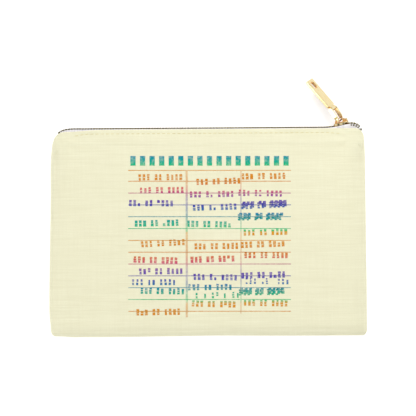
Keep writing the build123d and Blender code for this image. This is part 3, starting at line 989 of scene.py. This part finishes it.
def metal_material(name, bright, dark, deep, deepest_shade, reach, rough, tarnish, tint=(1, 1, 1, 1)):
    """Plated metal: fine scratches, darker metal in patches, and painted shade, in deep colours, down in
    its crevices.

    reach is how far the painted crevice shade reaches, in mm. rough is the lowest and the highest
    roughness. tint colours the gloss at a glancing angle."""
    mat, shader, add, join = new_material(name)
    scratch = noise_at(add, 1.0, 4.0, stretch=(300, 2600, 1500))
    patch = noise_at(add, 520.0, 4.0, 0.6)
    share = spread_to(add, patch, 0.42, 0.75, 0.0, tarnish)
    plate = mix(add, share, linear(*bright), linear(*dark))
    # painted shade: ambient occlusion darkens the colour to deep in crevices and between close parts,
    # and to deepest in the tightest, standing in for shade and dark reflections there
    crevice_shade = add("ShaderNodeAmbientOcclusion", {"Distance": reach * MM}, samples=8).outputs["AO"]
    plate = mix(add, spread_to(add, crevice_shade, 0.4, 0.82), linear(*deep), plate)
    join(mix(add, spread_to(add, crevice_shade, 0.1, 0.38), linear(*deepest_shade), plate), "Base Color")
    rubbed = math_node(add, "ADD", spread_to(add, scratch, 0.3, 0.7, *rough),
                       spread_to(add, patch, 0.4, 0.8, 0.0, 0.12))
    join(rubbed, "Roughness")
    lumps(add, join, scratch, 0.008 * MM, 0.5)
    shader.inputs["Metallic"].default_value = 1.0
    shader.inputs["Specular Tint"].default_value = tint
    return mat


def finish(obj, material):
    """Gives every face of an object one material."""
    obj.data.materials.clear()
    obj.data.materials.append(material)
    obj.data.polygons.foreach_set("material_index", [0] * len(obj.data.polygons))


def finish_cad(node, material):
    """Gives a CAD node one material, and leaves its mesh alone."""
    for slot in NODES[node].material_slots:
        slot.material = material


# ---------------------------------------------------------------- stage, light and camera
def stage():
    """A pale floor, 6 m square, just under the pouch."""
    half, low = 3.0, -0.02 * MM
    mesh = bpy.data.meshes.new("floor")
    corners = [(-half, -half, low), (half, -half, low), (half, half, low), (-half, half, low)]
    mesh.from_pydata(corners, [], [(0, 1, 2, 3)])
    floor = bpy.data.objects.new("floor", mesh)
    bpy.context.scene.collection.objects.link(floor)
    mat, shader, _, _ = new_material("white_floor")
    shader.inputs["Base Color"].default_value = (0.8, 0.8, 0.8, 1)
    shader.inputs["Roughness"].default_value = 0.9
    shader.inputs["Specular IOR Level"].default_value = 0.0
    shader.inputs["Emission Color"].default_value = (1, 1, 1, 1)
    shader.inputs["Emission Strength"].default_value = 0.42
    mesh.materials.append(mat)


def world():
    """White to the camera; to everything else a soft bright room with a dark ring overhead."""
    room = bpy.data.worlds.new("room")
    bpy.context.scene.world = room
    room.use_nodes = True
    nodes, links = room.node_tree.nodes, room.node_tree.links
    back = nodes["Background"]
    place = nodes.new("ShaderNodeTexCoord")
    axis = nodes.new("ShaderNodeSeparateXYZ")
    links.new(place.outputs["Generated"], axis.inputs[0])
    ramp = nodes.new("ShaderNodeValToRGB")
    links.new(axis.outputs["Z"], ramp.inputs["Fac"])
    stops = ramp.color_ramp.elements
    stops[0].position, stops[0].color = 0.0, (0.16, 0.15, 0.14, 1)
    stops[1].position, stops[1].color = 0.99, (1.0, 1.0, 1.0, 1)
    # height in the sky, from the horizon to straight up, and how bright it is there
    for height, tone in ((0.22, 0.42), (0.55, 1.0), (0.91, 1.0), (0.935, 0.1), (0.97, 0.1)):
        stops.new(height).color = (tone, tone, tone, 1)
    seen = nodes.new("ShaderNodeLightPath")
    blend = nodes.new("ShaderNodeMix")
    blend.data_type = "RGBA"
    links.new(seen.outputs["Is Camera Ray"], blend.inputs[0])
    links.new(ramp.outputs["Color"], blend.inputs[6])
    blend.inputs[7].default_value = (1, 1, 1, 1)
    links.new(blend.outputs[2], back.inputs["Color"])
    back.inputs["Strength"].default_value = 1.02


def area_light(name, place, size, power):
    """A square light that faces the pouch."""
    light = bpy.data.lights.new(name, "AREA")
    light.size = size
    light.energy = power
    obj = bpy.data.objects.new(name, light)
    obj.location = place
    obj.rotation_euler = (-Vector(place)).to_track_quat("-Z", "Y").to_euler()
    bpy.context.scene.collection.objects.link(obj)


def camera():
    """A long lens straight above the pouch, turned 0.4 degrees."""
    data = bpy.data.cameras.new("camera")
    view_width = 0.3005         # at the camera's distance from the front
    distance = 3.0
    data.sensor_width = 36
    data.lens = data.sensor_width * distance / view_width
    data.clip_end = 50
    obj = bpy.data.objects.new("camera", data)
    obj.location = (0.2 * MM, 18.0 * MM, FRONT_Z + distance)
    obj.rotation_euler = Euler((0, 0, math.radians(-0.4)))
    bpy.context.scene.collection.objects.link(obj)
    bpy.context.scene.camera = obj


# ---------------------------------------------------------------- the whole pouch
bpy.context.scene.view_settings.view_transform = "Standard"
camera()
world()
stage()
area_light("key", (0.24, 0.64, 0.52), 0.5, 2.95)
area_light("low_card", (-0.98, -0.63, 0.29), 0.5, 2.4)

canvas = canvas_material()
ink = ink_material("printed_ink", 0.35, 1.05)
faint_ink = ink_material("faint_ink", 0.15, 0.6)
cotton_lining = lining_material()
tape_twill = tape_material()
cotton_thread = thread_material()
# the third and fourth colours of each metal are painted crevice shade: dark brown for the teeth, orange
# to red-brown for the gold
brass_antique = metal_material(
    "antique_brass", (118, 104, 14), (46, 37, 6), (46, 36, 6), (18, 13, 4),
    reach=1.6, rough=(0.26, 0.42), tarnish=1.0, tint=(0.5, 0.4, 0.12, 1))
gold_plate = metal_material(
    "pale_gold_plate", (217, 202, 159), (212, 172, 100), (216, 136, 28), (104, 40, 10),
    reach=6.5, rough=(0.05, 0.14), tarnish=0.3)

finish(panel("front_cloth", 1), canvas)
finish(panel("back_cloth", -1), canvas)
finish(lining("front_inside", 1), cotton_lining)
finish(lining("back_inside", -1), cotton_lining)
teeth()
tapes()
for word, sign in (("front", 1), ("back", -1)):
    topstitch("topstitch_" + word, sign)
    finish_cad("top_stop_" + word, brass_antique)
finish_cad("bottom_stop", brass_antique)
for word in ("side_seam_thread_left", "side_seam_thread_right", "bottom_seam_thread"):
    seam_thread(word)
for word in ("slider_body", "pull_link", "pull_tab"):
    finish_cad(word, gold_plate)
heading()
rules()
stamps()
